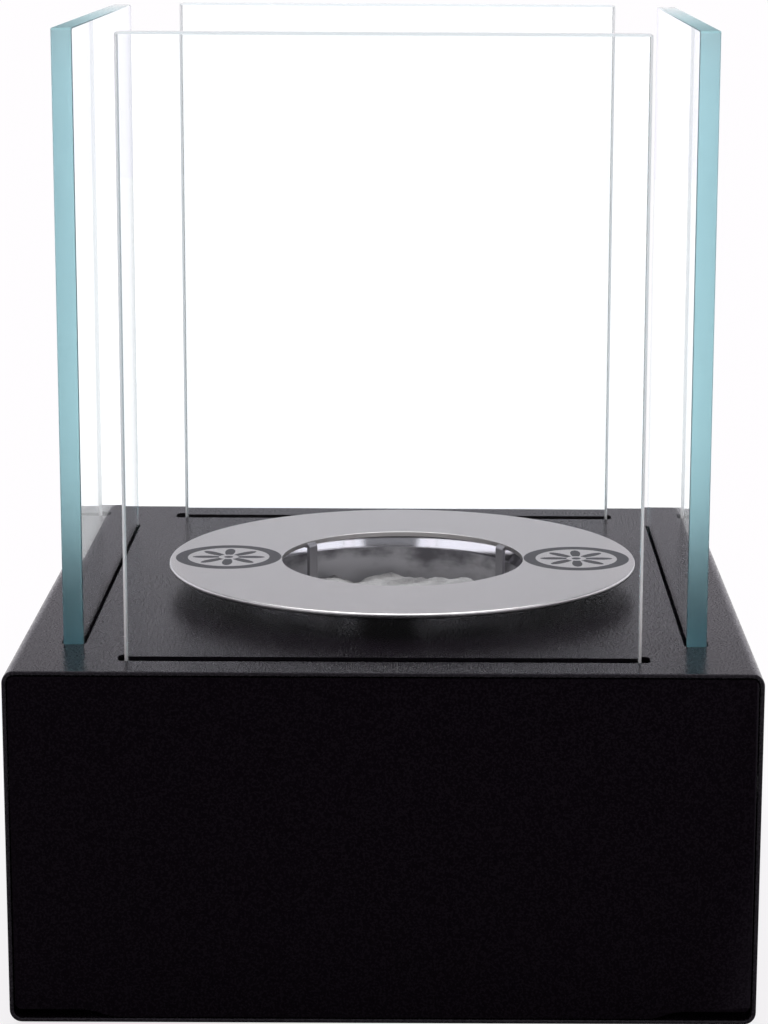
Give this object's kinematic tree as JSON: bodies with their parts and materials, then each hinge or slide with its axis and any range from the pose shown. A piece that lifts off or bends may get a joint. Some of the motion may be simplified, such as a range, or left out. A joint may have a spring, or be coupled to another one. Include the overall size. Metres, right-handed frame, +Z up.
{
  "type": "tabletop bioethanol fireplace",
  "caption": "Black steel table fire: a low box, upright clear glass panes in slots round its top, and a lift-out steel burner cup with a loose flat ring.",
  "frame": {"origin": "on the table, under the middle of the housing", "axes": "+X to the right, +Y to the back, +Z up; the front looks towards -Y"},
  "size_m": [0.18, 0.19, 0.238],
  "materials": {
    "black_powder_coat": "fine textured matt black powder coat on 1 mm steel",
    "zinc_plated_steel": "zinc plated",
    "brushed_stainless": "satin stainless steel with etched marks",
    "polished_stainless": "polished stainless steel",
    "clear_glass": "clear toughened glass with ground edges, faintly green in the edges",
    "white_silicone": "translucent white silicone",
    "black_rubber": "matt black rubber",
    "ceramic_wool": "white ceramic fibre wool"
  },
  "bodies": {
    "housing": {"outer_sleeve": "black_powder_coat", "front_panel": "black_powder_coat", "back_panel": "black_powder_coat", "burner_cradle": "zinc_plated_steel", "cup_guide_collar": "black_powder_coat", "glass_channel_front": "black_powder_coat", "glass_channel_right": "black_powder_coat", "glass_channel_back": "black_powder_coat", "glass_channel_left": "black_powder_coat", "seat_strip_front": "white_silicone", "seat_strip_right": "white_silicone", "seat_strip_back": "white_silicone", "seat_strip_left": "white_silicone", "panel_screw_front_left": "zinc_plated_steel", "panel_nut_front_left": "zinc_plated_steel", "panel_screw_back_left": "zinc_plated_steel", "panel_nut_back_left": "zinc_plated_steel", "panel_screw_front_right": "zinc_plated_steel", "panel_nut_front_right": "zinc_plated_steel", "panel_screw_back_right": "zinc_plated_steel", "panel_nut_back_right": "zinc_plated_steel", "cradle_screw_front_left": "zinc_plated_steel", "cradle_nut_front_left": "zinc_plated_steel", "cradle_screw_back_left": "zinc_plated_steel", "cradle_nut_back_left": "zinc_plated_steel", "cradle_screw_front_right": "zinc_plated_steel", "cradle_nut_front_right": "zinc_plated_steel", "cradle_screw_back_right": "zinc_plated_steel", "cradle_nut_back_right": "zinc_plated_steel", "foot_front_left": "black_rubber", "foot_front_right": "black_rubber", "foot_back_left": "black_rubber", "foot_back_right": "black_rubber"},
    "front_pane": {"glass_front": "clear_glass"},
    "right_pane": {"glass_right": "clear_glass"},
    "back_pane": {"glass_back": "clear_glass"},
    "left_pane": {"glass_left": "clear_glass"},
    "burner": {"burner_cup": "polished_stainless", "ceramic_wool": "ceramic_wool"},
    "ring": {"burner_ring": "brushed_stainless"}
  },
  "joints": [
    {"name": "front_pane_lift", "type": "slide", "parent": "housing", "child": "front_pane", "axis": [0, 0, 1], "range_m": [0, 0.035]},
    {"name": "right_pane_lift", "type": "slide", "parent": "housing", "child": "right_pane", "axis": [0, 0, 1], "range_m": [0, 0.035]},
    {"name": "back_pane_lift", "type": "slide", "parent": "housing", "child": "back_pane", "axis": [0, 0, 1], "range_m": [0, 0.035]},
    {"name": "left_pane_lift", "type": "slide", "parent": "housing", "child": "left_pane", "axis": [0, 0, 1], "range_m": [0, 0.035]},
    {"name": "burner_lift", "type": "slide", "parent": "housing", "child": "burner", "axis": [0, 0, 1], "range_m": [0, 0.23]},
    {"name": "ring_lift", "type": "slide", "parent": "burner", "child": "ring", "axis": [0, 0, 1], "range_m": [0, 0.165]}
  ]
}
